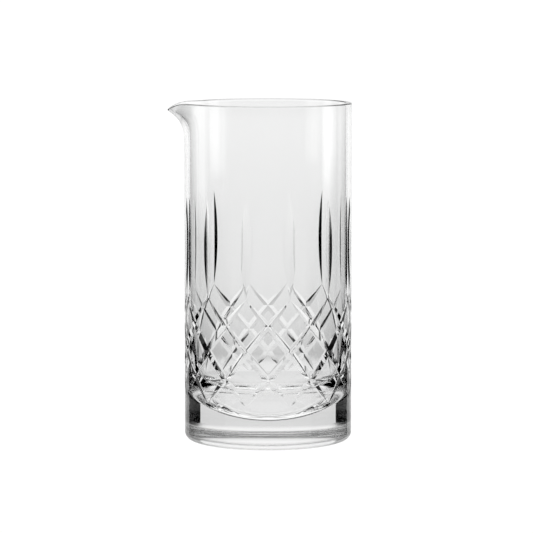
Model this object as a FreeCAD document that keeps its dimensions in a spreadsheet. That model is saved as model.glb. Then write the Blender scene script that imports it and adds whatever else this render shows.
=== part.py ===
"""Mixing glass: one thick-walled vessel with a heavy base, a pulled spout and a cut pattern.

Frame: +Z up, origin at the centre of the ring that the glass stands on, spout towards -X.
Lengths are in millimetres and angles in degrees.
"""
import FreeCAD
import Part
import Sketcher

import math
import os

Vector = FreeCAD.Vector
X_DIR = Vector(1, 0, 0)
Z_DIR = Vector(0, 0, 1)

# The driving dimensions: alias, value.
DIMENSIONS = (
    # vessel
    ("height", 174),
    ("outer_radius", 43),
    ("bore_radius", 40),
    ("floor_thickness", 11.3),
    ("dish_radius", 43),
    ("corner_radius", 19),
    ("foot_sweep_radius", 420),
    ("bore_bottom", 85),
    ("heel_radius", 4),
    ("punt_rim_radius", 34),
    ("punt_depth", 0.3),
    ("lip_round", 0.6),
    # pouring spout
    ("spout_bottom", 149),
    ("spout_reach_outside", 17.2),
    ("spout_reach_inside", 14.6),
    ("spout_half_angle", 38),
    ("spout_tip_outside", 4),
    ("spout_tip_inside", 2),
    ("spout_growth", 4),
    ("spout_dip_radius", 17.7),
    ("spout_dip_start", 41.25),
    # upright olive cuts
    ("cut_count", 12),
    ("olive_bottom", 77),
    ("olive_top", 126.6),
    ("olive_depth", 1),
    ("olive_width", 6.5),
    # diamond lattice of slanting cuts
    ("lattice_bottom", 22.4),
    ("lattice_top", 77),
    ("lattice_turn", 60),
    ("lattice_depth", 1.1),
    ("lattice_width", 4.6),
    ("cutter_overlap", 0.6),
)

SPOUT_LEVELS = 5             # steps in the height of the spout's loft
LATTICE_STATIONS = 8         # steps in the length of a slanting cut's loft
H_AXIS, V_AXIS = -1, -2      # a sketch's own axes, as the Sketcher numbers them
ORIGIN = (-1, 1)             # a sketch's origin point
START, END, CENTRE = 1, 2, 3

doc = FreeCAD.newDocument("mixing_glass")
sheet = doc.addObject("Spreadsheet::Sheet", "dimensions")
for row, (alias, value) in enumerate(DIMENSIONS, start=1):
    sheet.set("A%d" % row, alias)
    sheet.set("B%d" % row, str(value))
    sheet.setAlias("B%d" % row, alias)
doc.recompute()

body = doc.addObject("PartDesign::Body", "mixing_glass")
body.Label = "mixing_glass"


def size(alias):
    """The value of a driving dimension."""
    return float(sheet.get(alias))


def origin_feature(role):
    """The body's own origin plane or axis with this role."""
    return next(f for f in body.Origin.OriginFeatures if f.Role == role)


def new_sketch(name, plane="XY_Plane", offset=None):
    """A sketch on one of the body's origin planes, moved off it by a placement."""
    sketch = body.newObject("Sketcher::SketchObject", name)
    sketch.AttachmentSupport = (origin_feature(plane), [""])
    sketch.MapMode = "FlatFace"
    if offset is not None:
        sketch.AttachmentOffset = offset
    return sketch


def lifted(height, turned):
    """The placement of a sketch at this height, turned about the body's origin."""
    return FreeCAD.Placement(Vector(0, 0, height), turned)


def join(sketch, kind, *ends):
    """A constraint between the given geometry and points."""
    sketch.addConstraint(Sketcher.Constraint(kind, *ends))


def bind(sketch, kind, ends, value, expression):
    """A dimension of the sketch, driven by the spreadsheet."""
    index = sketch.addConstraint(Sketcher.Constraint(kind, *ends, value))
    sketch.setExpression("Constraints[%d]" % index, expression)


def line(sketch, start, end):
    """A straight line between two points."""
    return sketch.addGeometry(Part.LineSegment(Vector(*start, 0), Vector(*end, 0)))


def arc(sketch, centre, radius, first, last):
    """An arc that runs anticlockwise from one angle to another."""
    circle = Part.Circle(Vector(*centre, 0), Z_DIR, radius)
    return sketch.addGeometry(Part.ArcOfCircle(circle, math.radians(first), math.radians(last)))


def polar(centre, radius, angle):
    """The point at this distance and angle from the centre."""
    turned = math.radians(angle)
    return centre[0] + radius * math.cos(turned), centre[1] + radius * math.sin(turned)


def heading(start, end):
    """The angle of the direction from one point to another."""
    return math.degrees(math.atan2(end[1] - start[1], end[0] - start[0]))


def corner_between(circle_a, circle_b, radius):
    """The centre of a round of this radius that lies inside two circles and touches both.

    Of the two such centres it is the one on the right of the way from circle_b to circle_a.
    """
    (ax, ay), reach_a = circle_a[0], circle_a[1] - radius
    (bx, by), reach_b = circle_b[0], circle_b[1] - radius
    apart = math.hypot(ax - bx, ay - by)
    along = (reach_b ** 2 - reach_a ** 2 + apart ** 2) / (2 * apart)
    aside = math.sqrt(reach_b ** 2 - along ** 2)
    ux, uy = (ax - bx) / apart, (ay - by) / apart
    return bx + along * ux - aside * uy, by + along * uy + aside * ux


def vessel():
    """The turned shape: base, wall and inside, as one section swept round the axis."""
    top, outer, bore = size("height"), size("outer_radius"), size("bore_radius")
    heel, corner = size("heel_radius"), size("corner_radius")
    punt_rim, punt_depth = size("punt_rim_radius"), size("punt_depth")
    floor_point = (0, size("floor_thickness"))
    punt_point = (0, punt_depth)
    dish = ((0, floor_point[1] + size("dish_radius")), size("dish_radius"))
    sweep = ((bore - size("foot_sweep_radius"), size("bore_bottom")), size("foot_sweep_radius"))
    corner_centre = corner_between(sweep, dish, corner)
    dish_end = heading(dish[0], corner_centre)
    corner_end = heading(sweep[0], corner_centre)
    punt_radius = (punt_rim ** 2 + punt_depth ** 2) / (2 * punt_depth)
    punt_centre = (0, punt_depth - punt_radius)

    sketch = new_sketch("vessel_section", "XZ_Plane")
    axis = line(sketch, punt_point, floor_point)
    floor = arc(sketch, *dish, -90, dish_end)
    round_in = arc(sketch, corner_centre, corner, dish_end, corner_end)
    foot = arc(sketch, *sweep, corner_end, 0)
    inside = line(sketch, (bore, size("bore_bottom")), (bore, top))
    rim = line(sketch, (bore, top), (outer, top))
    outside = line(sketch, (outer, top), (outer, heel))
    round_out = arc(sketch, (outer - heel, heel), heel, -90, 0)
    ring = line(sketch, (outer - heel, 0), (punt_rim, 0))
    punt = arc(sketch, punt_centre, punt_radius, heading(punt_centre, (punt_rim, 0)), 90)

    join(sketch, "Coincident", axis, END, floor, START)
    join(sketch, "Tangent", floor, END, round_in, START)
    join(sketch, "Tangent", round_in, END, foot, START)
    join(sketch, "Tangent", foot, END, inside, START)
    join(sketch, "Coincident", inside, END, rim, START)
    join(sketch, "Coincident", rim, END, outside, START)
    join(sketch, "Tangent", outside, END, round_out, END)
    join(sketch, "Tangent", round_out, START, ring, START)
    join(sketch, "Coincident", ring, END, punt, START)
    join(sketch, "Coincident", punt, END, axis, START)
    join(sketch, "PointOnObject", axis, START, V_AXIS)
    join(sketch, "PointOnObject", floor, START, V_AXIS)
    join(sketch, "PointOnObject", floor, CENTRE, V_AXIS)
    join(sketch, "PointOnObject", punt, CENTRE, V_AXIS)
    join(sketch, "PointOnObject", ring, END, H_AXIS)
    join(sketch, "Horizontal", ring)
    join(sketch, "Horizontal", rim)
    join(sketch, "Vertical", inside)
    join(sketch, "Vertical", outside)
    for kind, ends, alias in (
            ("DistanceX", (*ORIGIN, inside, START), "bore_radius"),
            ("DistanceY", (*ORIGIN, inside, START), "bore_bottom"),
            ("DistanceX", (*ORIGIN, outside, START), "outer_radius"),
            ("DistanceY", (*ORIGIN, outside, START), "height"),
            ("DistanceY", (*ORIGIN, floor, START), "floor_thickness"),
            ("DistanceY", (*ORIGIN, axis, START), "punt_depth"),
            ("DistanceX", (*ORIGIN, punt, START), "punt_rim_radius"),
            ("Radius", (floor,), "dish_radius"),
            ("Radius", (round_in,), "corner_radius"),
            ("Radius", (foot,), "foot_sweep_radius"),
            ("Radius", (round_out,), "heel_radius")):
        bind(sketch, kind, ends, size(alias), "dimensions." + alias)

    turned = body.newObject("PartDesign::Revolution", "vessel")
    turned.Profile = sketch
    turned.ReferenceAxis = (sketch, ["V_Axis"])
    turned.Angle = 360
    doc.recompute()


def curve(sketch, centre, start, end):
    """An arc from start to end, the short way round.

    Returns its index and which of its own ends lie at start and at end.
    """
    radius = math.dist(centre, start)
    first, last = heading(centre, start), heading(centre, end)
    turn = (last - first + 180) % 360 - 180
    if turn > 0:
        return arc(sketch, centre, radius, first, first + turn), START, END
    return arc(sketch, centre, radius, last, last - turn), END, START


def spout_outline(sketch, radius_alias, reach_alias, tip_alias, share):
    """One wall line of the spout at one level: a tip arc between two arcs that leave the wall.

    share is how much of its full reach the spout has at this level. The curvature of the tip
    grows with it, from the wall's own to that of the finished tip. Returns the two ends of
    the line where it meets the round wall, each as a geometry index and a point.
    """
    wall, tip = size(radius_alias), size(tip_alias)
    half, reach = size("spout_half_angle"), size(reach_alias) * share
    radius = 1 / (1 / wall + (1 / tip - 1 / wall) * share)
    tip_centre = (wall + reach - radius, 0)
    leave = polar((0, 0), wall, half)
    flat = math.cos(math.radians(half))
    blend = ((radius ** 2 - wall ** 2 - tip_centre[0] ** 2 + 2 * wall * tip_centre[0] * flat)
             / (2 * (wall - tip_centre[0] * flat - radius)))
    blend_centre = polar((0, 0), wall + blend, half)
    towards = heading(tip_centre, blend_centre)
    meet = polar(tip_centre, math.copysign(radius, blend), towards)

    def mirrored(point):
        return point[0], -point[1]

    upper, upper_out, upper_in = curve(sketch, blend_centre, leave, meet)
    nose, nose_upper, nose_lower = curve(sketch, tip_centre, meet, mirrored(meet))
    lower, lower_in, lower_out = curve(
        sketch, mirrored(blend_centre), mirrored(meet), mirrored(leave))
    join(sketch, "Tangent", upper, upper_in, nose, nose_upper)
    join(sketch, "Tangent", nose, nose_lower, lower, lower_in)
    join(sketch, "PointOnObject", nose, CENTRE, H_AXIS)
    join(sketch, "Symmetric", upper, upper_out, lower, lower_out, H_AXIS)
    join(sketch, "Equal", upper, lower)
    full = "dimensions.%s" % radius_alias
    tip_radius = ("1 / (1 / %s + (1 / dimensions.%s - 1 / %s) * %r)"
                  % (full, tip_alias, full, share))
    bind(sketch, "Radius", (nose,), radius, tip_radius)
    bind(sketch, "DistanceX", (*ORIGIN, nose, CENTRE), tip_centre[0],
         "%s + dimensions.%s * %r - %s" % (full, reach_alias, share, tip_radius))
    bind(sketch, "DistanceX", (*ORIGIN, upper, upper_out), leave[0],
         "%s * cos(dimensions.spout_half_angle * 1 deg)" % full)
    bind(sketch, "DistanceY", (*ORIGIN, upper, upper_out), leave[1],
         "%s * sin(dimensions.spout_half_angle * 1 deg)" % full)
    return (upper, upper_out), (lower, lower_out), upper


def wall_outline(sketch, radius_alias):
    """The plain wall line where the spout begins, split as the levels above it are."""
    wall, half = size(radius_alias), size("spout_half_angle")
    stops = [polar((0, 0), wall, half * step / 3) for step in (3, 1, -1, -3)]
    arcs = [curve(sketch, (0, 0), start, end) for start, end in zip(stops, stops[1:])]
    full = "dimensions.%s" % radius_alias
    for piece, _, _ in arcs:
        join(sketch, "Coincident", piece, CENTRE, *ORIGIN)
    for (before, _, end), (after, start, _) in zip(arcs, arcs[1:]):
        join(sketch, "Coincident", before, end, after, start)
    bind(sketch, "Radius", (arcs[0][0],), wall, full)
    (upper, upper_out, upper_in), (nose, _, nose_lower), (lower, _, lower_out) = arcs
    for (piece, point), angle in (((upper, upper_out), 1), ((upper, upper_in), 1 / 3),
                                  ((nose, nose_lower), -1 / 3), ((lower, lower_out), -1)):
        turned = math.radians(half * angle)
        bind(sketch, "DistanceY", (*ORIGIN, piece, point), wall * math.sin(turned),
             "%s * sin(dimensions.spout_half_angle * %r deg)" % (full, angle))
    return (upper, upper_out), (lower, lower_out), upper


def spout_level(level, levels):
    """The wall's section across the spout at one level of its height."""
    low, high = size("spout_bottom"), size("height")
    part_way = level / levels
    lift = low + (high - low) * part_way
    turned = FreeCAD.Rotation(Z_DIR, 180)
    sketch = new_sketch("spout_level_%d" % level, offset=lifted(lift, turned))
    sketch.setExpression(
        ".AttachmentOffset.Base.z",
        "dimensions.spout_bottom + (dimensions.height - dimensions.spout_bottom) * %r" % part_way)
    share = part_way ** size("spout_growth")
    ends = []
    for aliases in (("outer_radius", "spout_reach_outside", "spout_tip_outside"),
                    ("bore_radius", "spout_reach_inside", "spout_tip_inside")):
        if level == 0:
            ends.append(wall_outline(sketch, aliases[0]))
        else:
            ends.append(spout_outline(sketch, *aliases, share))
    (outer_upper, outer_lower, blend_out), (inner_upper, inner_lower, blend_in) = ends
    for outer_end, inner_end in ((outer_upper, inner_upper), (outer_lower, inner_lower)):
        outer_point = sketch.getPoint(*outer_end)
        inner_point = sketch.getPoint(*inner_end)
        side = line(sketch, outer_point[:2], inner_point[:2])
        join(sketch, "Coincident", side, START, *outer_end)
        join(sketch, "Coincident", side, END, *inner_end)
        if level and outer_end == outer_upper:
            join(sketch, "PointOnObject", blend_out, CENTRE, side)
            join(sketch, "PointOnObject", blend_in, CENTRE, side)
    return sketch


def spout():
    """The pouring spout: a sector of the wall is taken out and a lofted beak put in its place."""
    low = size("spout_bottom")
    half = math.radians(size("spout_half_angle"))
    gap = new_sketch("spout_gap_section", offset=lifted(low, FreeCAD.Rotation(Z_DIR, 180)))
    gap.setExpression(".AttachmentOffset.Base.z", "dimensions.spout_bottom")
    near = (size("bore_radius") / 2, size("bore_radius") / 2 * math.tan(half))
    far = (size("outer_radius") * 1.2, size("outer_radius") * 1.2 * math.tan(half))
    stops = (near, far, (far[0], -far[1]), (near[0], -near[1]))
    sides = [line(gap, start, end) for start, end in zip(stops, stops[1:] + stops[:1])]
    for before, after in zip(sides, sides[1:] + sides[:1]):
        join(gap, "Coincident", before, END, after, START)
    join(gap, "Symmetric", sides[0], START, sides[2], END, H_AXIS)
    join(gap, "Symmetric", sides[0], END, sides[2], START, H_AXIS)
    join(gap, "PointOnObject", *ORIGIN, sides[0])
    bind(gap, "Angle", (sides[0],), half, "dimensions.spout_half_angle * 1 deg")
    bind(gap, "DistanceX", (*ORIGIN, sides[0], START), near[0], "dimensions.bore_radius / 2")
    bind(gap, "DistanceX", (*ORIGIN, sides[0], END), far[0], "dimensions.outer_radius * 1.2")
    cut = body.newObject("PartDesign::Pocket", "spout_gap")
    cut.Profile = gap
    cut.Type = "ThroughAll"
    cut.Reversed = True
    doc.recompute()
    sections = [spout_level(level, SPOUT_LEVELS) for level in range(SPOUT_LEVELS + 1)]
    doc.recompute()
    beak = body.newObject("PartDesign::AdditiveLoft", "spout")
    beak.Profile = sections[0]
    beak.Sections = sections[1:]
    beak.Ruled = False
    doc.recompute()


def spout_dip():
    """The lip of the spout curves down towards its tip, and the beak ends where it meets it."""
    top, start, drop = size("height"), size("spout_dip_start"), size("spout_dip_radius")
    over, far = top + 2, size("outer_radius") + size("spout_reach_outside") + 2
    sketch = new_sketch("spout_dip_section", "XZ_Plane")
    middle = (-start, top - drop)
    bend, bend_top, bend_end = curve(sketch, middle, (-start, top), polar(middle, drop, 150))
    end = polar(middle, drop, 150)
    stops = (end, (-far, end[1]), (-far, over), (-start, over), (-start, top))
    shelf, rise, across, down = [line(sketch, *pair) for pair in zip(stops, stops[1:])]
    for before, after in ((shelf, rise), (rise, across), (across, down)):
        join(sketch, "Coincident", before, END, after, START)
    join(sketch, "Coincident", bend, bend_end, shelf, START)
    join(sketch, "Coincident", down, END, bend, bend_top)
    join(sketch, "Vertical", bend, CENTRE, bend, bend_top)
    for side, kind in ((shelf, "Horizontal"), (rise, "Vertical"), (across, "Horizontal"),
                       (down, "Vertical")):
        join(sketch, kind, side)
    bind(sketch, "Radius", (bend,), drop, "dimensions.spout_dip_radius")
    bind(sketch, "DistanceX", (bend, bend_top, *ORIGIN), start, "dimensions.spout_dip_start")
    bind(sketch, "DistanceY", (*ORIGIN, bend, bend_top), top, "dimensions.height")
    bind(sketch, "DistanceY", (bend, CENTRE, bend, bend_end), end[1] - middle[1],
         "dimensions.spout_dip_radius / 2")
    bind(sketch, "DistanceX", (rise, START, *ORIGIN), far,
         "dimensions.outer_radius + dimensions.spout_reach_outside + 2")
    bind(sketch, "DistanceY", (*ORIGIN, across, START), over, "dimensions.height + 2")
    cut = body.newObject("PartDesign::Pocket", "spout_dip")
    cut.Profile = sketch
    cut.Type = "ThroughAll"
    cut.Midplane = True
    doc.recompute()


def lip():
    """Rounds both edges of the rim, spout included."""
    names = ["Edge%d" % index for index, edge in enumerate(body.Shape.Edges, start=1)
             if edge.BoundBox.ZMin > size("spout_bottom") + 5 and not isinstance(edge.Curve, Part.Line)]
    before = body.Tip
    rounded = body.newObject("PartDesign::Fillet", "lip")
    rounded.Base = (before, names)
    rounded.setExpression("Radius", "dimensions.lip_round")
    doc.recompute()


def vee(sketch, deep, wide, half_width):
    """The triangle of a mitre wheel's edge: its point at x = deep, its back at x = wide.

    Each size is a value and the expression that drives it.
    """
    tip, upper, lower = (deep[0], 0), (wide[0], half_width[0]), (wide[0], -half_width[0])
    flank_up, back, flank_down = [line(sketch, *pair) for pair in (
        (tip, upper), (upper, lower), (lower, tip))]
    join(sketch, "Coincident", flank_up, END, back, START)
    join(sketch, "Coincident", back, END, flank_down, START)
    join(sketch, "Coincident", flank_down, END, flank_up, START)
    join(sketch, "Symmetric", back, START, back, END, H_AXIS)
    join(sketch, "PointOnObject", flank_up, START, H_AXIS)
    bind(sketch, "DistanceX", (*ORIGIN, flank_up, START), *deep)
    bind(sketch, "DistanceX", (*ORIGIN, back, START), *wide)
    bind(sketch, "DistanceY", (*ORIGIN, back, START), *half_width)


def round_the_axis(feature, name):
    """Repeats a cut evenly round the glass."""
    pattern = body.newObject("PartDesign::PolarPattern", name)
    pattern.Originals = [feature]
    pattern.Axis = (origin_feature("Z_Axis"), [""])
    pattern.Angle = 360
    pattern.setExpression("Occurrences", "dimensions.cut_count")
    body.Tip = pattern
    doc.recompute()


def olive_cuts():
    """Upright lens-shaped cuts, each plunged by a large mitre wheel held level with its middle."""
    outer, depth, overlap = size("outer_radius"), size("olive_depth"), size("cutter_overlap")
    low, high = size("olive_bottom"), size("olive_top")
    wheel = ((high - low) / 2) ** 2 / (2 * depth)
    step = 360 / size("cut_count")
    turned = FreeCAD.Rotation(Z_DIR, step / 2)
    sketch = new_sketch("olive_section", offset=lifted((low + high) / 2, turned))
    sketch.setExpression(".AttachmentOffset.Base.z",
                         "(dimensions.olive_bottom + dimensions.olive_top) / 2")
    spread = size("olive_width") / 2 / depth * (depth + overlap)
    vee(sketch,
        (outer - depth, "dimensions.outer_radius - dimensions.olive_depth"),
        (outer + overlap, "dimensions.outer_radius + dimensions.cutter_overlap"),
        (spread, "dimensions.olive_width / 2 / dimensions.olive_depth"
                 " * (dimensions.olive_depth + dimensions.cutter_overlap)"))
    axle = line(sketch, (outer - depth + wheel, 0), (outer - depth + wheel, depth))
    sketch.setConstruction(axle, True)
    join(sketch, "Vertical", axle)
    join(sketch, "PointOnObject", axle, START, H_AXIS)
    bind(sketch, "DistanceY", (axle, START, axle, END), depth, "dimensions.olive_depth")
    bind(sketch, "DistanceX", (*ORIGIN, axle, START), outer - depth + wheel,
         "dimensions.outer_radius - dimensions.olive_depth"
         " + (dimensions.olive_top - dimensions.olive_bottom) ^ 2 / (8 * dimensions.olive_depth)")
    cut = body.newObject("PartDesign::Groove", "olive_cut")
    cut.Profile = sketch
    cut.ReferenceAxis = (sketch, ["Axis0"])
    cut.Midplane = True
    cut.Angle = math.degrees((high - low) / wheel) * 1.2
    doc.recompute()
    round_the_axis(cut, "olive_cuts")


def lattice_cuts(hand, name):
    """Slanting cuts, right-handed for hand 1 and left-handed for -1, deepest half way up."""
    outer, depth, overlap = size("outer_radius"), size("lattice_depth"), size("cutter_overlap")
    low, high, turn = size("lattice_bottom"), size("lattice_top"), size("lattice_turn")
    slope = size("lattice_width") / 2 / depth
    rise = math.degrees(math.atan2(high - low, outer * math.radians(turn)))
    start = 180 / size("cut_count")
    sections = []
    for station in range(LATTICE_STATIONS + 1):
        part_way = station / LATTICE_STATIONS
        share = 1 - abs(2 * part_way - 1) ** 3
        turned = (FreeCAD.Rotation(Z_DIR, hand * (start + turn * part_way))
                  * FreeCAD.Rotation(X_DIR, -hand * (90 - rise)))
        lift = low + (high - low) * part_way
        sketch = new_sketch("%s_section_%d" % (name, station), offset=lifted(lift, turned))
        clear = overlap / 4
        deep = (depth + clear) * share - clear
        sink = ("((dimensions.lattice_depth + dimensions.cutter_overlap / 4) * %r"
                " - dimensions.cutter_overlap / 4)" % share)
        vee(sketch,
            (outer - deep, "dimensions.outer_radius - " + sink),
            (outer + overlap, "dimensions.outer_radius + dimensions.cutter_overlap"),
            (slope * (deep + overlap), "dimensions.lattice_width / 2 / dimensions.lattice_depth"
                                       " * (%s + dimensions.cutter_overlap)" % sink))
        sections.append(sketch)
    doc.recompute()
    cut = body.newObject("PartDesign::SubtractiveLoft", name + "_cut")
    cut.Profile = sections[0]
    cut.Sections = sections[1:]
    cut.Ruled = False
    doc.recompute()
    round_the_axis(cut, name + "_cuts")


def check(name, least, most):
    """Stops the build when a step left the body failed, or took or added the wrong amount."""
    failed = [o.Name for o in doc.Objects if {"Invalid", "Error"} & set(o.State)]
    shape = body.Shape
    if failed or shape.isNull() or not shape.isValid() or len(shape.Solids) != 1:
        raise RuntimeError("%s failed: %s" % (name, failed))
    if not least <= shape.Volume <= most:
        raise RuntimeError("%s leaves %.0f cubic millimetres" % (name, shape.Volume))
    print("%-14s %8.0f mm3, %d faces" % (name, shape.Volume, len(shape.Faces)))
    return shape.Volume


def main():
    vessel()
    glass = check("vessel", 2.5e5, 2.8e5)
    spout()
    glass = check("spout", glass, glass + 500)
    spout_dip()
    glass = check("spout dip", glass - 500, glass - 1)
    lip()
    glass = check("lip", glass - 500, glass - 1)
    olive_cuts()
    glass = check("olive cuts", glass - 2000, glass - 500)
    for hand, name in ((1, "rising"), (-1, "falling")):
        lattice_cuts(hand, name)
        glass = check(name + " cuts", glass - 2000, glass - 500)
    os.makedirs("parts", exist_ok=True)
    body.Shape.exportStep("parts/%s.step" % body.Label)


if __name__ == "__main__":
    main()
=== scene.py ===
import math

import bmesh
import bpy
import numpy as np
from bpy.props import FloatProperty, FloatVectorProperty, IntProperty, PointerProperty
from mathutils import Matrix, Vector


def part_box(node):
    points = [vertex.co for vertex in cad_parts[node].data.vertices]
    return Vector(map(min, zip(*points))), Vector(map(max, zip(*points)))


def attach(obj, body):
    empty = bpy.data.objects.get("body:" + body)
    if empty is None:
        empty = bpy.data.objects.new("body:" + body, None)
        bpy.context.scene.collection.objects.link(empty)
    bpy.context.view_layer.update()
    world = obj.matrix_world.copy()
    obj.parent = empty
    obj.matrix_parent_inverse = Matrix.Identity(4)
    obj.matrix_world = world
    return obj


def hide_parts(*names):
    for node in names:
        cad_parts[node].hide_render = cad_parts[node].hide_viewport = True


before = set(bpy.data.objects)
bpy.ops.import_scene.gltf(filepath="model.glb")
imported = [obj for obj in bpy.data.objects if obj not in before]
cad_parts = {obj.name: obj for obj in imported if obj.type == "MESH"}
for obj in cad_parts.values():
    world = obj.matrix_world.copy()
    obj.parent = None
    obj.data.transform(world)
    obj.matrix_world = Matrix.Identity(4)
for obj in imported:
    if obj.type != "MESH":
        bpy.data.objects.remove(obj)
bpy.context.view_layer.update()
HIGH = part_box("mixing_glass")[1]

bl_info = {
    "name": "Mixing Glass",
    "version": (1, 0, 0),
    "blender": (4, 5, 0),
    "location": "3D View > Sidebar > Mixing Glass",
    "description": "Makes a cut mixing glass with a pouring spout, and a studio to look at it in",
    "category": "Add Mesh",
}

MM = 0.001
COLUMNS_PER_HALF_CUT = 8        # faces across the plain wall, in half of one cut's share
COLUMNS_PER_FLANK = 3           # faces across one ground flank of a cut
BAND_MARGIN = 3.4 * MM          # plain wall between the olive cuts and the rings over them
BAND_STEPS = 10                 # rings from there to the foot of the spout
SPOUT_RINGS = 25                # rings in the height of the spout
SPOUT_CROWDING = 0.8            # below 1, the spout's rings crowd towards the rim
LIP_STEPS = 12                  # rings round one edge of the rim
OUTER_LIP_SHARE = 0.6325        # most of the rim's width that its outer rounding takes
CURVE_STEPS = 14                # rings in each curve of the turned section
FLOOR_STEPS = 16                # rings across the inside floor
PUNT_STEPS = 12                 # rings across the punt
WELD = 2e-6                     # points nearer than this are one point
CREASE = math.radians(9.5)      # a sharper turn than this stays a crisp ground edge
HALVINGS = 50                   # steps in closing in on a height
LEAST_SHARE = 1e-4              # a spout pulled out less than this is plain wall
GATHER = 0.7                    # how far columns are drawn in towards the beak
GATHER_SPAN = math.radians(50)  # and over what angle from it

FLOOR_RADIUS = 30               # metres, so that the floor runs past the view
CARD_RADIUS = 0.80
SOFTBOX_RADIUS = 0.75           # the softboxes hang in front of the cards
CARD_COLUMNS = 24
CARD_FOOT = -0.50               # the cards go on below the table, for what the glass bends down
SOFTBOX_TOP = 0.60
UNDER_GLOW = 0.80               # brightness of the card that closes the ring of cards below

# Brightness of a card at heights in metres above the table
BACKDROP_GLOW = (
    (CARD_FOOT, 0.90), (-0.30, 0.82), (-0.17, 0.60), (-0.06, 0.84), (0.03, 0.95), (0.11, 1.03),
    (0.122, 1.03), (0.134, 0.93), (0.30, 0.80), (0.40, 0.45), (0.50, 0.0), (0.60, 0.0),
    (0.70, 1.0), (0.90, 1.0))
SIDE_GLOW = (
    (CARD_FOOT, 0.0), (0.04, 0.0), (0.15, 0.65), (0.30, 0.40), (0.45, 0.0), (0.60, 0.0),
    (0.70, 0.9), (0.90, 0.9))
ROOM_GLOW = (
    (CARD_FOOT, 0.5), (-0.10, 0.5), (0.05, 0.10), (0.35, 0.12), (0.60, 0.0), (0.70, 0.9),
    (0.90, 0.9))

# Name, start and end angle in degrees from the line to the camera, radius, brightness
CARDS = (
    ("backdrop", 139, 221, CARD_RADIUS, BACKDROP_GLOW),
    ("black_card_left", -139, -60, CARD_RADIUS, SIDE_GLOW),
    ("black_card_right", 60, 139, CARD_RADIUS, SIDE_GLOW),
    ("room", -60, 60, CARD_RADIUS, ROOM_GLOW),
    ("softbox_left", -84, -60, SOFTBOX_RADIUS, (
        (0.078, 0.0), (0.092, 0.8), (SOFTBOX_TOP, 0.8))),
    ("softbox_left_far", -113, -94, SOFTBOX_RADIUS, (
        (0.035, 0.0), (0.075, 1.3), (SOFTBOX_TOP, 1.3))),
    ("softbox_right", 82, 104, SOFTBOX_RADIUS, (
        (0.055, 0.0), (0.105, 1.5), (SOFTBOX_TOP, 1.5))),
)


# Sizes and colours


class VesselSizes(bpy.types.PropertyGroup):
    """The turned form of the glass, without its spout and cuts"""

    height: FloatProperty(
        name="Height", description="Table to rim", default=HIGH.z, unit="LENGTH", precision=4)
    outer_radius: FloatProperty(
        name="Outer Radius", description="Axis to the outside of the wall",
        default=HIGH.x, unit="LENGTH", precision=4)
    bore_radius: FloatProperty(
        name="Bore Radius", description="Axis to the inside of the straight wall",
        default=40 * MM, unit="LENGTH", precision=4)
    bore_bottom: FloatProperty(
        name="Bore Bottom", description="Height where the straight bore ends",
        default=85 * MM, unit="LENGTH", precision=4)
    sweep_radius: FloatProperty(
        name="Sweep Radius", description="Long curve of the inside from the bore to the corner",
        default=420 * MM, unit="LENGTH", precision=4)
    corner_radius: FloatProperty(
        name="Corner Radius", description="Curve between the inside wall and the inside floor",
        default=19 * MM, unit="LENGTH", precision=4)
    dish_radius: FloatProperty(
        name="Dish Radius", description="Hollow of the inside floor",
        default=43 * MM, unit="LENGTH", precision=4)
    floor_thickness: FloatProperty(
        name="Floor Thickness", description="Glass under the middle of the inside floor",
        default=11.3 * MM, unit="LENGTH", precision=4)
    heel_radius: FloatProperty(
        name="Heel Radius", description="Rounding where the outside meets the table",
        default=4 * MM, unit="LENGTH", precision=4)
    punt_radius: FloatProperty(
        name="Punt Radius", description="Inner edge of the ring that the glass stands on",
        default=34 * MM, unit="LENGTH", precision=4)
    punt_depth: FloatProperty(
        name="Punt Depth", description="Depth of the hollow under the glass",
        default=0.3 * MM, unit="LENGTH", precision=4)
    lip_round: FloatProperty(
        name="Lip Round", description="Fire-polished rounding of both edges of the rim",
        default=0.6 * MM, unit="LENGTH", precision=4)


class SpoutSizes(bpy.types.PropertyGroup):
    """The pulled pouring spout"""

    bottom: FloatProperty(
        name="Bottom", description="Height where the wall starts to lean out",
        default=149 * MM, unit="LENGTH", precision=4)
    growth: FloatProperty(
        name="Growth", description="How late the spout leans out; higher is later",
        default=4.0, min=1.0)
    half_angle: FloatProperty(
        name="Half Angle", description="Half of the wall's turn that the spout takes up",
        default=math.radians(38), subtype="ANGLE")
    reach_outside: FloatProperty(
        name="Reach Outside", description="Pull of the outer face at the rim's full height",
        default=17.2 * MM, unit="LENGTH", precision=4)
    reach_inside: FloatProperty(
        name="Reach Inside", description="Pull of the inner face at the rim's full height",
        default=14.6 * MM, unit="LENGTH", precision=4)
    tip_outside: FloatProperty(
        name="Tip Outside", description="Plan radius of the beak's outer face",
        default=4 * MM, unit="LENGTH", precision=4)
    tip_inside: FloatProperty(
        name="Tip Inside", description="Plan radius of the beak's channel",
        default=2 * MM, unit="LENGTH", precision=4)
    dip_start: FloatProperty(
        name="Dip Start", description="Distance from the axis where the rim starts to dip",
        default=41.25 * MM, unit="LENGTH", precision=4)
    dip_radius: FloatProperty(
        name="Dip Radius", description="Curve of the dip, seen from the side",
        default=17.7 * MM, unit="LENGTH", precision=4)


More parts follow.
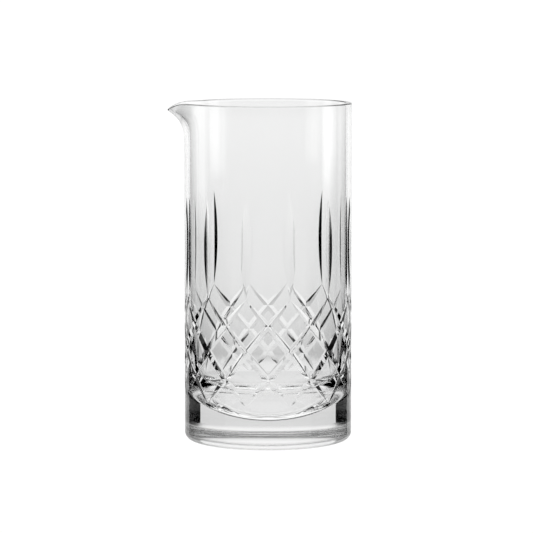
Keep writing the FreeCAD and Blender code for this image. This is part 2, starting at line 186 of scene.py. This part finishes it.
class CutSizes(bpy.types.PropertyGroup):
    """The wheel-cut pattern: a diamond lattice with an olive cut over every top point"""

    count: IntProperty(
        name="Cuts Round", description="Olive cuts, and lattice cuts each way", default=12, min=3)
    lattice_bottom: FloatProperty(
        name="Lattice Bottom", description="Height of the lattice's lowest points",
        default=22.4 * MM, unit="LENGTH", precision=4)
    lattice_top: FloatProperty(
        name="Lattice Top", description="Height of the lattice's top points",
        default=77 * MM, unit="LENGTH", precision=4)
    lattice_depth: FloatProperty(
        name="Lattice Depth", description="Depth of a lattice cut at mid height",
        default=1.1 * MM, unit="LENGTH", precision=5)
    lattice_width: FloatProperty(
        name="Lattice Width", description="Width of a lattice cut at its full depth",
        default=4.6 * MM, unit="LENGTH", precision=4)
    olive_top: FloatProperty(
        name="Olive Top", description="Height of the upper points of the olive cuts",
        default=126.6 * MM, unit="LENGTH", precision=4)
    olive_depth: FloatProperty(
        name="Olive Depth", description="Depth of an olive cut at its middle",
        default=1.0 * MM, unit="LENGTH", precision=5)
    olive_width: FloatProperty(
        name="Olive Width", description="Width of an olive cut at its middle",
        default=6.5 * MM, unit="LENGTH", precision=4)


class GlassLook(bpy.types.PropertyGroup):
    """The clear glass"""

    tint: FloatVectorProperty(
        name="Tint", description="Colour that the glass gives to what is seen through it",
        default=(0.987, 0.989, 0.988), subtype="COLOR", min=0.0, max=1.0)
    index: FloatProperty(
        name="Index", description="Index of refraction of the crystal", default=1.52, min=1.0)
    polish: FloatProperty(
        name="Polish", description="Roughness left by the fire polish; 0 is a mirror",
        default=0.0, min=0.0, max=1.0)
    ground_height: FloatProperty(
        name="Ground Height", description="Height up to which the foot is ground, not polished",
        default=4.3 * MM, unit="LENGTH", precision=4)
    ground_grain: FloatProperty(
        name="Ground Grain", description="Roughness of the ground underside",
        default=0.25, min=0.0, max=1.0)
    wave_height: FloatProperty(
        name="Wave Height", description="Height of the slow waves that blowing leaves in the wall",
        default=0.012 * MM, unit="LENGTH", precision=6)
    wave_scale: FloatProperty(
        name="Wave Scale", description="Waves to a metre", default=38.0, min=0.0)


class StudioLook(bpy.types.PropertyGroup):
    """Camera, floor and lights"""

    distance: FloatProperty(
        name="Camera Distance", description="Camera to the middle of the glass",
        default=1.547, unit="LENGTH")
    pitch: FloatProperty(
        name="Camera Pitch", description="How far the camera looks down",
        default=math.radians(6.1), subtype="ANGLE")
    lens: FloatProperty(
        name="Lens", description="Focal length on a 36 mm wide sensor", default=202.6)
    aim: FloatVectorProperty(
        name="Aim", description="Point that the camera looks at",
        default=(-0.8 * MM, 0.0, 89.4 * MM), subtype="XYZ")
    surround: FloatProperty(
        name="Surround", description="Brightness of the white surround", default=1.12, min=0.0)
    floor_colour: FloatVectorProperty(
        name="Floor Colour", description="Matt white floor",
        default=(0.92, 0.92, 0.92), subtype="COLOR", min=0.0, max=1.0)


# Points of the turned and pulled faces


def wall_radius(across, height, wall, reach, tip):
    """Axis to the wall at an angle from the spout, at a height, as the spout is pulled out of it"""
    vessel, spout = bpy.context.scene.mixing_vessel, bpy.context.scene.mixing_spout
    share = np.clip((height - spout.bottom) / (vessel.height - spout.bottom), 0, None)
    share = share ** spout.growth
    plain = share < LEAST_SHARE
    share = np.where(plain, LEAST_SHARE, share)
    across, half = np.abs(across), spout.half_angle
    beak = 1 / (1 / wall + (1 / tip - 1 / wall) * share)
    centre = wall + reach * share - beak
    blend = (beak ** 2 - wall ** 2 - centre ** 2 + 2 * wall * centre * math.cos(half)) / (
        2 * (wall - centre * math.cos(half) - beak))
    far = wall + blend
    join = beak / (beak + blend)
    turn = np.arctan2(far * math.sin(half) * join,
                      centre + (far * math.cos(half) - centre) * join)
    beak_face = centre * np.cos(across) + np.sqrt(
        np.clip(beak ** 2 - (centre * np.sin(across)) ** 2, 0, None))
    side_face = far * np.cos(across - half) - np.sign(blend) * np.sqrt(
        np.clip(blend ** 2 - (far * np.sin(across - half)) ** 2, 0, None))
    pulled = np.where(across < turn, beak_face, np.where(across < half, side_face, wall))
    return np.where(plain, wall, pulled)


def rim_level(out):
    """Height of the rim at a distance from the axis towards the spout"""
    vessel, spout = bpy.context.scene.mixing_vessel, bpy.context.scene.mixing_spout
    past = np.clip(out - spout.dip_start, 0, spout.dip_radius * 0.95)
    return vessel.height - spout.dip_radius + np.sqrt(spout.dip_radius ** 2 - past ** 2)


def ring(across, radius, height):
    """Points round the axis; the angle runs from the spout, which points along -X"""
    across, radius, height = np.broadcast_arrays(across, radius, height)
    return np.stack([-radius * np.cos(across), radius * np.sin(across), height], axis=-1)


def gathered(across, share):
    """Angles drawn in towards the spout, so that the beak gets more faces"""
    near = np.clip(1 - (across / GATHER_SPAN) ** 2, 0, None) ** 2
    return across * (1 - GATHER * share * near)


def rim_edge(across, wall, reach, tip):
    """Height where one face of the wall meets the rim, at each angle"""
    low = np.full_like(across, bpy.context.scene.mixing_spout.bottom)
    high = np.full_like(across, bpy.context.scene.mixing_vessel.height)
    for _ in range(HALVINGS):
        mid = (low + high) / 2
        under = mid < rim_level(wall_radius(across, mid, wall, reach, tip) * np.cos(across))
        low, high = np.where(under, mid, low), np.where(under, high, mid)
    return low


def unit(arrows):
    """Arrows of length one"""
    return arrows / np.linalg.norm(arrows, axis=-1, keepdims=True)


def wall_and_edge(across, wall, reach, tip):
    """A function for one face's points by height, its edge on the rim, and its slope there"""
    def face(height):
        return ring(across, wall_radius(across, height, wall, reach, tip), height)

    level = rim_edge(across, wall, reach, tip)
    edge = face(level)
    return face, level, edge, unit(face(level - 0.3 * MM) - edge)


def columns():
    """The angles of the columns of faces round the glass"""
    count = 2 * COLUMNS_PER_HALF_CUT * bpy.context.scene.mixing_cuts.count
    return np.linspace(-math.pi, math.pi, count, endpoint=False)


def rounded(start, corner, end):
    """Rings of a rounded corner between two rings"""
    opening = np.sum(unit(start - corner) * unit(end - corner), axis=-1, keepdims=True)
    pull = np.sqrt((1 - opening) / 2)
    rings = []
    for t in np.linspace(0, 1, LIP_STEPS + 1):
        near, mid, far = (1 - t) ** 2, 2 * t * (1 - t) * pull, t ** 2
        rings.append((near * start + mid * corner + far * end) / (near + mid + far))
    return rings


def setback(leg, other):
    """How far before a corner its rounding starts"""
    opening = np.arccos(np.clip(np.sum(leg * other, axis=-1), -1, 1))
    return bpy.context.scene.mixing_vessel.lip_round / np.tan(opening / 2)


def top_rings(start):
    """Rings from the outside of the wall at a height, up over the rim, and down the bore"""
    vessel, spout = bpy.context.scene.mixing_vessel, bpy.context.scene.mixing_spout
    even = columns()
    across = gathered(even, 1)
    outer, outer_level, outer_edge, outer_leg = wall_and_edge(
        across, vessel.outer_radius, spout.reach_outside, spout.tip_outside)
    inner, inner_level, inner_edge, inner_leg = wall_and_edge(
        across, vessel.bore_radius, spout.reach_inside, spout.tip_inside)
    over = unit(inner_edge - outer_edge)
    width = np.linalg.norm(inner_edge - outer_edge, axis=-1)
    back = np.minimum(setback(outer_leg, over), OUTER_LIP_SHARE * width)
    front = np.minimum(setback(inner_leg, -over), width - back * 0.98)
    outer_stop = outer_level + back * outer_leg[:, 2]
    inner_stop = inner_level + front * inner_leg[:, 2]
    climb = np.linspace(0, 1, SPOUT_RINGS) ** SPOUT_CROWDING
    approach = eased(start, spout.bottom, BAND_STEPS)

    rings = [ring(gathered(even, share), vessel.outer_radius, height)
             for share, height in approach[:-1]]
    rings += [outer(spout.bottom + (outer_stop - spout.bottom) * t) for t in climb]
    rings += rounded(rings.pop(), outer_edge, outer_edge + over * back[:, None])
    inner_rings = [inner(spout.bottom + (inner_stop - spout.bottom) * t) for t in climb[::-1]]
    rings += rounded(inner_edge - over * front[:, None], inner_edge, inner_rings[0])
    rings += inner_rings[1:-1]
    rings += [ring(gathered(even, share), vessel.bore_radius, height)
              for share, height in reversed(approach)]
    return rings


def eased(low, high, steps):
    """(share, height) pairs between two heights, the share easing from 0 to 1"""
    return [(t * t * (3 - 2 * t), low + (high - low) * t) for t in np.linspace(0, 1, steps + 1)]


def sweep(centre, radius, first, last, steps):
    """Points of a curve in the turned section: (distance from the axis, height)"""
    angles = [math.atan2(p[1] - centre[1], p[0] - centre[0]) for p in (first, last)]
    return [(centre[0] + radius * math.cos(a), centre[1] + radius * math.sin(a))
            for a in np.linspace(*angles, steps + 1)]


def towards(start, through, length):
    """The point at a length from start, on the line through another point"""
    share = length / math.dist(start, through)
    return tuple(a + (b - a) * share for a, b in zip(start, through))


def inside_section(top):
    """The inside's turned section from a height down to the middle of its floor"""
    vessel = bpy.context.scene.mixing_vessel
    sweep_centre = (vessel.bore_radius - vessel.sweep_radius, vessel.bore_bottom)
    dish_centre = (0.0, vessel.floor_thickness + vessel.dish_radius)
    corner = meeting(sweep_centre, vessel.sweep_radius - vessel.corner_radius,
                     dish_centre, vessel.dish_radius - vessel.corner_radius)
    wall_end = towards(sweep_centre, corner, vessel.sweep_radius)
    dish_end = towards(dish_centre, corner, vessel.dish_radius)
    bore_end = (vessel.bore_radius, vessel.bore_bottom)
    points = [(vessel.bore_radius, z)
              for z in np.linspace(top, vessel.bore_bottom, BAND_STEPS)[1:-1]]
    points += sweep(sweep_centre, vessel.sweep_radius, bore_end, wall_end, CURVE_STEPS)[:-1]
    points += sweep(corner, vessel.corner_radius, wall_end, dish_end, CURVE_STEPS)[:-1]
    points += sweep(dish_centre, vessel.dish_radius, dish_end,
                    (0.0, vessel.floor_thickness), FLOOR_STEPS)
    return points


def meeting(first, first_radius, second, second_radius):
    """The lower right point at given distances from two points"""
    span = math.dist(first, second)
    along = (first_radius ** 2 - second_radius ** 2 + span ** 2) / (2 * span)
    aside = math.sqrt(first_radius ** 2 - along ** 2)
    unit_x, unit_z = (second[0] - first[0]) / span, (second[1] - first[1]) / span
    return (first[0] + along * unit_x + aside * unit_z, first[1] + along * unit_z - aside * unit_x)


def under_section():
    """The underside's turned section from the top of the heel to the middle of the punt"""
    vessel = bpy.context.scene.mixing_vessel
    inner = vessel.outer_radius - vessel.heel_radius
    cap = (vessel.punt_radius ** 2 + vessel.punt_depth ** 2) / (2 * vessel.punt_depth)
    points = sweep((inner, vessel.heel_radius), vessel.heel_radius,
                   (vessel.outer_radius, vessel.heel_radius), (inner, 0.0), CURVE_STEPS)
    points += [(inner + (vessel.punt_radius - inner) * t, 0.0) for t in (0.25, 0.5, 0.75)]
    points += sweep((0.0, vessel.punt_depth - cap), cap, (vessel.punt_radius, 0.0),
                    (0.0, vessel.punt_depth), PUNT_STEPS)
    return points


def skin(mesh, rings):
    """Faces between neighbouring rings; a ring on the axis becomes one point in the weld"""
    rows = [[mesh.verts.new(p) for p in points] for points in rings]
    for row, following in zip(rows, rows[1:]):
        for k in range(len(row)):
            mesh.faces.new((row[k - 1], row[k], following[k], following[k - 1]))


# The cut pattern


def flank_slopes():
    """Depth to half width of the two kinds of cut, along a level line round the wall"""
    vessel, cuts = bpy.context.scene.mixing_vessel, bpy.context.scene.mixing_cuts
    rise = cuts.lattice_top - cuts.lattice_bottom
    run = vessel.outer_radius * 4 * math.pi / cuts.count
    lattice = cuts.lattice_depth / (cuts.lattice_width / 2) * math.sin(math.atan2(rise, run))
    return lattice, cuts.olive_depth / (cuts.olive_width / 2)


def lattice_cut(height):
    """(angle of the cut's middle, half its width as an angle) in the lattice, at a height"""
    vessel, cuts = bpy.context.scene.mixing_vessel, bpy.context.scene.mixing_cuts
    share = (height - cuts.lattice_bottom) / (cuts.lattice_top - cuts.lattice_bottom)
    slope = flank_slopes()[0]
    depth = cuts.lattice_depth * (1 - abs(2 * share - 1) ** 3)
    step = 4 * share % 2
    middle = math.pi / cuts.count * abs(1 - step)
    return middle, math.acos(
        (1 - depth / vessel.outer_radius) / math.hypot(1, slope)) - math.atan(slope)


def crossing_heights():
    """Heights where the edges of two crossing lattice cuts run into each other"""
    cuts = bpy.context.scene.mixing_cuts
    half = math.pi / cuts.count
    rows = np.linspace(cuts.lattice_bottom, cuts.lattice_top, 5)
    gaps = (lambda middle, width: middle - width, lambda middle, width: half - middle - width)
    heights = []
    for low, high in zip(rows, rows[1:]):
        for gap in gaps:
            first, last = low + 0.01 * MM, high - 0.01 * MM
            sign = gap(*lattice_cut(first))
            if sign * gap(*lattice_cut(last)) > 0:
                continue
            for _ in range(HALVINGS):
                mid = (first + last) / 2
                first, last = (mid, last) if gap(*lattice_cut(mid)) * sign > 0 else (first, mid)
            heights.append(first)
    return heights


def band_heights(bottom, top):
    """Rows of points in the cut band, with a row wherever an edge starts, ends or crosses"""
    cuts = bpy.context.scene.mixing_cuts
    fixed = [bottom, top, cuts.olive_top, *crossing_heights(),
             *np.linspace(cuts.lattice_bottom, cuts.lattice_top, 5)]
    free = [*np.linspace(bottom, cuts.lattice_bottom, 7),
            *np.linspace(cuts.lattice_bottom, cuts.lattice_top, 61),
            *np.linspace(cuts.lattice_top, cuts.olive_top, 31)]
    spare = [z for z in free if min(abs(z - f) for f in fixed) > 0.35 * MM]
    return sorted(fixed + spare)


def calculator(tree):
    """A function that adds one sum to a node tree: calc(operation, term, term...)"""
    def calc(operation, *terms, clamp=False):
        node = tree.nodes.new("ShaderNodeMath")
        node.operation, node.use_clamp = operation, clamp
        for socket, term in zip(node.inputs, terms):
            if isinstance(term, (int, float)):
                socket.default_value = term
            else:
                tree.links.new(term, socket)
        return node.outputs[0]
    return calc


def cut_pattern_tree():
    """Bends half of one cut's share of the wall, grinds the cuts in it, mirrors and repeats it.

    The flat strip's X counts its four spans: plain, flank, flank, plain. Its Z is the height.
    """
    tree = bpy.data.node_groups.new("Cut Pattern", "GeometryNodeTree")
    inlet = tree.nodes.new("NodeGroupInput")
    outlet = tree.nodes.new("NodeGroupOutput")
    tree.interface.new_socket(name="Strip", in_out="INPUT", socket_type="NodeSocketGeometry")
    tree.interface.new_socket(name="Glass", in_out="OUTPUT", socket_type="NodeSocketGeometry")
    for name, kind in (
            ("Outer Radius", "Float"), ("Cuts Round", "Int"), ("Lattice Bottom", "Float"),
            ("Lattice Top", "Float"), ("Lattice Depth", "Float"), ("Lattice Slope", "Float"),
            ("Olive Top", "Float"), ("Olive Depth", "Float"), ("Olive Slope", "Float"),
            ("Material", "Material")):
        tree.interface.new_socket(name=name, in_out="INPUT", socket_type="NodeSocket" + kind)
    calc = calculator(tree)
    size = inlet.outputs

    def link(kind, **sockets):
        node = tree.nodes.new(kind)
        for name, value in sockets.items():
            socket = node.inputs[name.replace("_", " ")]
            if isinstance(value, bpy.types.NodeSocket):
                tree.links.new(value, socket)
            else:
                socket.default_value = value
        return node

    position = tree.nodes.new("GeometryNodeInputPosition")
    place = link("ShaderNodeSeparateXYZ", Vector=position.outputs[0])
    span, height = place.outputs["X"], place.outputs["Z"]
    share = calc("DIVIDE", calc("SUBTRACT", height, size["Lattice Bottom"]),
                 calc("SUBTRACT", size["Lattice Top"], size["Lattice Bottom"]), clamp=True)
    half = calc("DIVIDE", math.pi, size["Cuts Round"])
    middle = calc("MULTIPLY", half, calc(
        "SUBTRACT", 1.0, calc("PINGPONG", calc("MULTIPLY", share, 4.0), 1.0)))

    from_mid = calc("ABSOLUTE", calc("MULTIPLY_ADD", share, 2.0, -1.0))
    lattice = calc("MULTIPLY", size["Lattice Depth"],
                   calc("SUBTRACT", 1.0, calc("POWER", from_mid, 3.0)))
    olive_mid = calc("MULTIPLY", calc("ADD", size["Olive Top"], size["Lattice Top"]), 0.5)
    olive_half = calc("SUBTRACT", size["Olive Top"], olive_mid)
    along = calc("DIVIDE", calc("SUBTRACT", height, olive_mid), olive_half)
    olive = calc("MULTIPLY", size["Olive Depth"], calc(
        "SUBTRACT", 1.0, calc("MULTIPLY", along, along), clamp=True))
    depth = calc("MAXIMUM", lattice, olive)
    above = calc("GREATER_THAN", height, size["Lattice Top"])
    slope = calc("MULTIPLY_ADD", above,
                 calc("SUBTRACT", size["Olive Slope"], size["Lattice Slope"]),
                 size["Lattice Slope"])

    steep = calc("SQRT", calc("MULTIPLY_ADD", slope, slope, 1.0))
    left_over = calc("SUBTRACT", 1.0, calc("DIVIDE", depth, size["Outer Radius"]))
    width = calc("SUBTRACT", calc("ARCCOSINE", calc("DIVIDE", left_over, steep)),
                 calc("ARCTANGENT", slope))
    near_edge = calc("MAXIMUM", calc("SUBTRACT", middle, width), 0.0)
    far_edge = calc("MINIMUM", calc("ADD", middle, width), half)
    angle, last = 0.0, 0.0
    for number, edge in enumerate((near_edge, middle, far_edge, half)):
        passed = calc("SUBTRACT", span, float(number), clamp=True)
        angle = calc("MULTIPLY_ADD", passed, calc("SUBTRACT", edge, last), angle)
        last = edge

    off = calc("ABSOLUTE", calc("SUBTRACT", angle, middle))
    flank = calc("SUBTRACT", calc("COSINE", off), calc("MULTIPLY", slope, calc("SINE", off)))
    ground = calc("DIVIDE", calc("SUBTRACT", size["Outer Radius"], depth), flank)
    radius = calc("MINIMUM", size["Outer Radius"], ground)
    bent = link("ShaderNodeCombineXYZ", X=calc("MULTIPLY", radius, calc("COSINE", angle)),
                Y=calc("MULTIPLY", radius, calc("SINE", angle)), Z=height)
    right = link("GeometryNodeSetPosition", Geometry=size["Strip"], Position=bent.outputs[0])
    mirrored = link("GeometryNodeTransform", Geometry=right.outputs[0], Scale=(1.0, -1.0, 1.0))
    left = link("GeometryNodeFlipFaces", Mesh=mirrored.outputs[0])
    both = tree.nodes.new("GeometryNodeJoinGeometry")
    for side in (right, left):
        tree.links.new(side.outputs[0], both.inputs[0])

    points = link("GeometryNodePoints", Count=size["Cuts Round"])
    turn = link("FunctionNodeAxisAngleToRotation", Axis=(0.0, 0.0, 1.0), Angle=calc(
        "MULTIPLY", tree.nodes.new("GeometryNodeInputIndex").outputs[0],
        calc("MULTIPLY", half, 2.0)))
    round_axis = link("GeometryNodeInstanceOnPoints", Points=points.outputs[0],
                      Instance=both.outputs[0], Rotation=turn.outputs[0])
    real = link("GeometryNodeRealizeInstances", Geometry=round_axis.outputs[0])
    finished = link("GeometryNodeSetMaterial", Geometry=real.outputs[0],
                    Material=size["Material"])
    tree.links.new(finished.outputs[0], outlet.inputs[0])
    return tree


def flat_strip(heights):
    """The sheet that the pattern tree bends: four spans wide, one row for each height"""
    plain, flank = COLUMNS_PER_HALF_CUT, COLUMNS_PER_FLANK
    spans = np.concatenate([
        np.linspace(0, 1, plain, endpoint=False), np.linspace(1, 2, flank, endpoint=False),
        np.linspace(2, 3, flank, endpoint=False), np.linspace(3, 4, plain + 1)])
    sheet = bmesh.new()
    rows = [[sheet.verts.new((x, 0.0, z)) for x in spans] for z in heights]
    for row, upper in zip(rows, rows[1:]):
        for k in range(1, len(row)):
            sheet.faces.new((row[k - 1], row[k], upper[k], upper[k - 1]))
    mesh = bpy.data.meshes.new("flat_strip")
    sheet.to_mesh(mesh)
    sheet.free()
    return mesh


def cut_band(bottom, top, material):
    """The cut part of the outside wall as a plain mesh"""
    vessel, cuts = bpy.context.scene.mixing_vessel, bpy.context.scene.mixing_cuts
    strip = bpy.data.objects.new("cut_band", flat_strip(band_heights(bottom, top)))
    bpy.context.scene.collection.objects.link(strip)
    modifier = strip.modifiers.new("Cut Pattern", "NODES")
    tree = cut_pattern_tree()
    modifier.node_group = tree
    slopes = flank_slopes()
    values = {
        "Outer Radius": vessel.outer_radius, "Cuts Round": cuts.count,
        "Lattice Bottom": cuts.lattice_bottom, "Lattice Top": cuts.lattice_top,
        "Lattice Depth": cuts.lattice_depth, "Lattice Slope": slopes[0],
        "Olive Top": cuts.olive_top, "Olive Depth": cuts.olive_depth,
        "Olive Slope": slopes[1], "Material": material}
    for item in tree.interface.items_tree:
        if item.in_out == "INPUT" and item.name in values:
            modifier[item.identifier] = values[item.name]
    evaluated = strip.evaluated_get(bpy.context.evaluated_depsgraph_get())
    band = bpy.data.meshes.new_from_object(evaluated)
    strip.modifiers.remove(modifier)
    bpy.data.objects.remove(strip)
    return band


# Material


def clear_glass():
    """Clear crystal: fire-polished, with the slow waves of a blown wall, and a ground foot"""
    look = bpy.context.scene.mixing_look
    material = bpy.data.materials.new("clear_crystal")
    material.use_nodes = True
    nodes, links = material.node_tree.nodes, material.node_tree.links
    shader = nodes["Principled BSDF"]
    shader.inputs["Base Color"].default_value = (*look.tint, 1.0)
    shader.inputs["IOR"].default_value = look.index
    shader.inputs["Transmission Weight"].default_value = 1.0
    place = nodes.new("ShaderNodeTexCoord")
    waves = nodes.new("ShaderNodeTexNoise")
    waves.inputs["Scale"].default_value = look.wave_scale
    waves.inputs["Detail"].default_value = 1.0
    swell = nodes.new("ShaderNodeBump")
    swell.inputs["Strength"].default_value = 1.0
    swell.inputs["Distance"].default_value = look.wave_height
    links.new(place.outputs["Object"], waves.inputs["Vector"])
    links.new(waves.outputs["Fac"], swell.inputs["Height"])
    links.new(swell.outputs["Normal"], shader.inputs["Normal"])
    grain = nodes.new("ShaderNodeMapRange")
    grain.inputs["To Min"].default_value = look.polish
    grain.inputs["To Max"].default_value = look.ground_grain
    links.new(foot_mask(material.node_tree, place), grain.inputs["Value"])
    links.new(grain.outputs["Result"], shader.inputs["Roughness"])
    return material


def foot_mask(tree, place):
    """1 on the heel and the standing ring, 0 on the rest of the glass"""
    look, vessel = bpy.context.scene.mixing_look, bpy.context.scene.mixing_vessel
    calc = calculator(tree)
    axes = tree.nodes.new("ShaderNodeSeparateXYZ")
    tree.links.new(place.outputs["Object"], axes.inputs["Vector"])
    across, along, height = axes.outputs
    from_axis = calc("SQRT", calc("MULTIPLY_ADD", across, across,
                                  calc("MULTIPLY", along, along)))
    return calc("MULTIPLY", calc("GREATER_THAN", from_axis, vessel.punt_radius),
                calc("LESS_THAN", height, look.ground_height))


# Operators


class MIXGLASS_OT_vessel(bpy.types.Operator):
    """Make the glass: turned body, pulled spout, punt, olive cuts and lattice, in one piece"""

    bl_idname = "mixglass.vessel"
    bl_label = "Mixing Glass"

    def execute(self, context):
        vessel, cuts = context.scene.mixing_vessel, context.scene.mixing_cuts
        material = clear_glass()
        band_top = cuts.olive_top + BAND_MARGIN
        whole = bmesh.new()
        whole.from_mesh(cut_band(vessel.heel_radius, band_top, material))
        even = columns()
        inside = [ring(even, r, z) for r, z in inside_section(band_top)]
        skin(whole, top_rings(band_top) + inside)
        skin(whole, [ring(even, r, z) for r, z in under_section()])
        bmesh.ops.remove_doubles(whole, verts=whole.verts, dist=WELD)
        bmesh.ops.recalc_face_normals(whole, faces=whole.faces)
        if any(len(edge.link_faces) != 2 for edge in whole.edges):
            raise RuntimeError("the glass is not closed")
        if whole.calc_volume(signed=True) < 0:
            raise RuntimeError("the glass is inside out")
        mesh = bpy.data.meshes.new("clear_glass_vessel")
        whole.to_mesh(mesh)
        whole.free()
        mesh.materials.clear()
        mesh.materials.append(material)
        mesh.polygons.foreach_set("material_index", [0] * len(mesh.polygons))
        mesh.shade_smooth()
        mesh.set_sharp_from_angle(angle=CREASE)
        glass = bpy.data.objects.new("clear_glass_vessel", mesh)
        context.scene.collection.objects.link(glass)
        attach(glass, "root")
        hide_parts("mixing_glass")
        glass.visible_shadow = False
        glass.visible_diffuse = False
        return {"FINISHED"}


def glowing(name):
    """A material that only gives light, and its node that does"""
    material = bpy.data.materials.new(name)
    material.use_nodes = True
    nodes, links = material.node_tree.nodes, material.node_tree.links
    nodes.remove(nodes["Principled BSDF"])
    glow = nodes.new("ShaderNodeEmission")
    links.new(glow.outputs[0], nodes["Material Output"].inputs["Surface"])
    return material, glow


def card(name, start, end, radius, brightness, turntable):
    """A curved card of the studio, round the glass, its brightness given at several heights"""
    low, high = brightness[0][0], brightness[-1][0]
    sheet = bmesh.new()
    rows = [[sheet.verts.new((radius * math.sin(a), -radius * math.cos(a), level))
             for a in np.radians(np.linspace(start, end, CARD_COLUMNS + 1))]
            for level in (low, high)]
    for k in range(CARD_COLUMNS):
        sheet.faces.new((rows[0][k], rows[0][k + 1], rows[1][k + 1], rows[1][k]))
    material, glow = glowing(name)
    nodes, links = material.node_tree.nodes, material.node_tree.links
    place = nodes.new("ShaderNodeTexCoord")
    axes = nodes.new("ShaderNodeSeparateXYZ")
    share = nodes.new("ShaderNodeMapRange")
    share.inputs["From Min"].default_value = low
    share.inputs["From Max"].default_value = high
    fade = nodes.new("ShaderNodeValToRGB")
    stops = fade.color_ramp.elements
    while len(stops) < len(brightness):
        stops.new(0.5)
    for stop, (height, value) in zip(stops, brightness):
        stop.position = (height - low) / (high - low)
        stop.color = (value, value, value, 1.0)
    links.new(place.outputs["Object"], axes.inputs[0])
    links.new(axes.outputs["Z"], share.inputs["Value"])
    links.new(share.outputs["Result"], fade.inputs["Fac"])
    links.new(fade.outputs["Color"], glow.inputs["Color"])
    hang(name, sheet, material, turntable)


def under_card(turntable):
    """The round card that closes the ring of cards below the table"""
    disc = bmesh.new()
    bmesh.ops.create_circle(disc, cap_ends=True, segments=96, radius=CARD_RADIUS,
                            matrix=Matrix.Translation((0.0, 0.0, CARD_FOOT)))
    material, glow = glowing("under_card")
    glow.inputs["Strength"].default_value = UNDER_GLOW
    hang("under_card", disc, material, turntable)


def hang(name, sheet, material, turntable):
    """Puts a card in the studio: out of the picture and off the floor, but seen in the glass"""
    mesh = bpy.data.meshes.new(name)
    sheet.to_mesh(mesh)
    sheet.free()
    mesh.materials.append(material)
    screen = bpy.data.objects.new(name, mesh)
    bpy.context.scene.collection.objects.link(screen)
    screen.parent = turntable
    screen.visible_camera = False
    screen.visible_diffuse = False
    screen.visible_shadow = False


def white_surround(brightness):
    """An even white light from all round"""
    world = bpy.data.worlds.new("White Surround")
    bpy.context.scene.world = world
    world.use_nodes = True
    background = world.node_tree.nodes["Background"]
    background.inputs["Color"].default_value = (1, 1, 1, 1)
    background.inputs["Strength"].default_value = brightness
    bpy.context.scene.view_settings.view_transform = "Standard"


def white_floor(colour):
    """A matt white floor just under the foot, which the cards below it replace in the glass"""
    disc = bmesh.new()
    bmesh.ops.create_circle(disc, cap_ends=True, segments=96, radius=FLOOR_RADIUS)
    mesh = bpy.data.meshes.new("floor")
    disc.to_mesh(mesh)
    disc.free()
    matt = bpy.data.materials.new("matt_white_floor")
    matt.use_nodes = True
    shader = matt.node_tree.nodes["Principled BSDF"]
    shader.inputs["Base Color"].default_value = (*colour, 1.0)
    shader.inputs["Roughness"].default_value = 1.0
    shader.inputs["Specular IOR Level"].default_value = 0.0
    mesh.materials.append(matt)
    floor = bpy.data.objects.new("floor", mesh)
    floor.location.z = -0.1 * MM
    floor.visible_glossy = False
    floor.visible_transmission = False
    bpy.context.scene.collection.objects.link(floor)


def studio_camera(look):
    """The camera, level from side to side and looking down a little"""
    data = bpy.data.cameras.new("camera")
    data.lens, data.sensor_width = look.lens, 36.0
    data.clip_start, data.clip_end = 0.01, 100.0
    camera = bpy.data.objects.new("camera", data)
    bpy.context.scene.collection.objects.link(camera)
    bpy.context.scene.camera = camera
    back = Vector((0.0, -math.cos(look.pitch), math.sin(look.pitch)))
    camera.location = Vector(look.aim) + back * look.distance
    camera.rotation_mode = "QUATERNION"
    camera.rotation_quaternion = (-back).to_track_quat("-Z", "Y")
    return camera


def studio_turntable(camera):
    """The stand that carries the cards, and turns them to face the camera"""
    turntable = bpy.data.objects.new("turntable", None)
    bpy.context.scene.collection.objects.link(turntable)
    facing = turntable.constraints.new("LOCKED_TRACK")
    facing.target = camera
    facing.track_axis, facing.lock_axis = "TRACK_NEGATIVE_Y", "LOCK_Z"
    return turntable


class MIXGLASS_OT_studio(bpy.types.Operator):
    """Set up the white floor, the surround, the camera, the cards and the softboxes"""

    bl_idname = "mixglass.studio"
    bl_label = "Studio"

    def execute(self, context):
        look = context.scene.mixing_studio
        white_surround(look.surround)
        white_floor(look.floor_colour)
        turntable = studio_turntable(studio_camera(look))
        for row in CARDS:
            card(*row, turntable)
        under_card(turntable)
        return {"FINISHED"}


# Panel and registration


class MIXGLASS_PT_panel(bpy.types.Panel):
    """Sizes, colours and makers of the mixing glass"""

    bl_label = "Mixing Glass"
    bl_idname = "MIXGLASS_PT_panel"
    bl_space_type = "VIEW_3D"
    bl_region_type = "UI"
    bl_category = "Mixing Glass"

    def draw(self, context):
        layout = self.layout
        for title, name in GROUPS.items():
            box = layout.box()
            box.label(text=title)
            group = getattr(context.scene, name)
            for key in group.__annotations__:
                box.prop(group, key)
        for operator in OPERATORS:
            layout.operator(operator.bl_idname)


GROUPS = {"Vessel": "mixing_vessel", "Spout": "mixing_spout", "Cuts": "mixing_cuts",
          "Glass": "mixing_look", "Studio": "mixing_studio"}
GROUP_CLASSES = (VesselSizes, SpoutSizes, CutSizes, GlassLook, StudioLook)
OPERATORS = (MIXGLASS_OT_vessel, MIXGLASS_OT_studio)


def register():
    for cls in (*GROUP_CLASSES, *OPERATORS, MIXGLASS_PT_panel):
        bpy.utils.register_class(cls)
    for name, cls in zip(GROUPS.values(), GROUP_CLASSES):
        setattr(bpy.types.Scene, name, PointerProperty(type=cls))


def unregister():
    for name in GROUPS.values():
        delattr(bpy.types.Scene, name)
    for cls in reversed((*GROUP_CLASSES, *OPERATORS, MIXGLASS_PT_panel)):
        bpy.utils.unregister_class(cls)


def main():
    register()
    bpy.ops.mixglass.vessel()
    bpy.ops.mixglass.studio()
    bpy.context.view_layer.update()


if __name__ == "__main__":
    main()
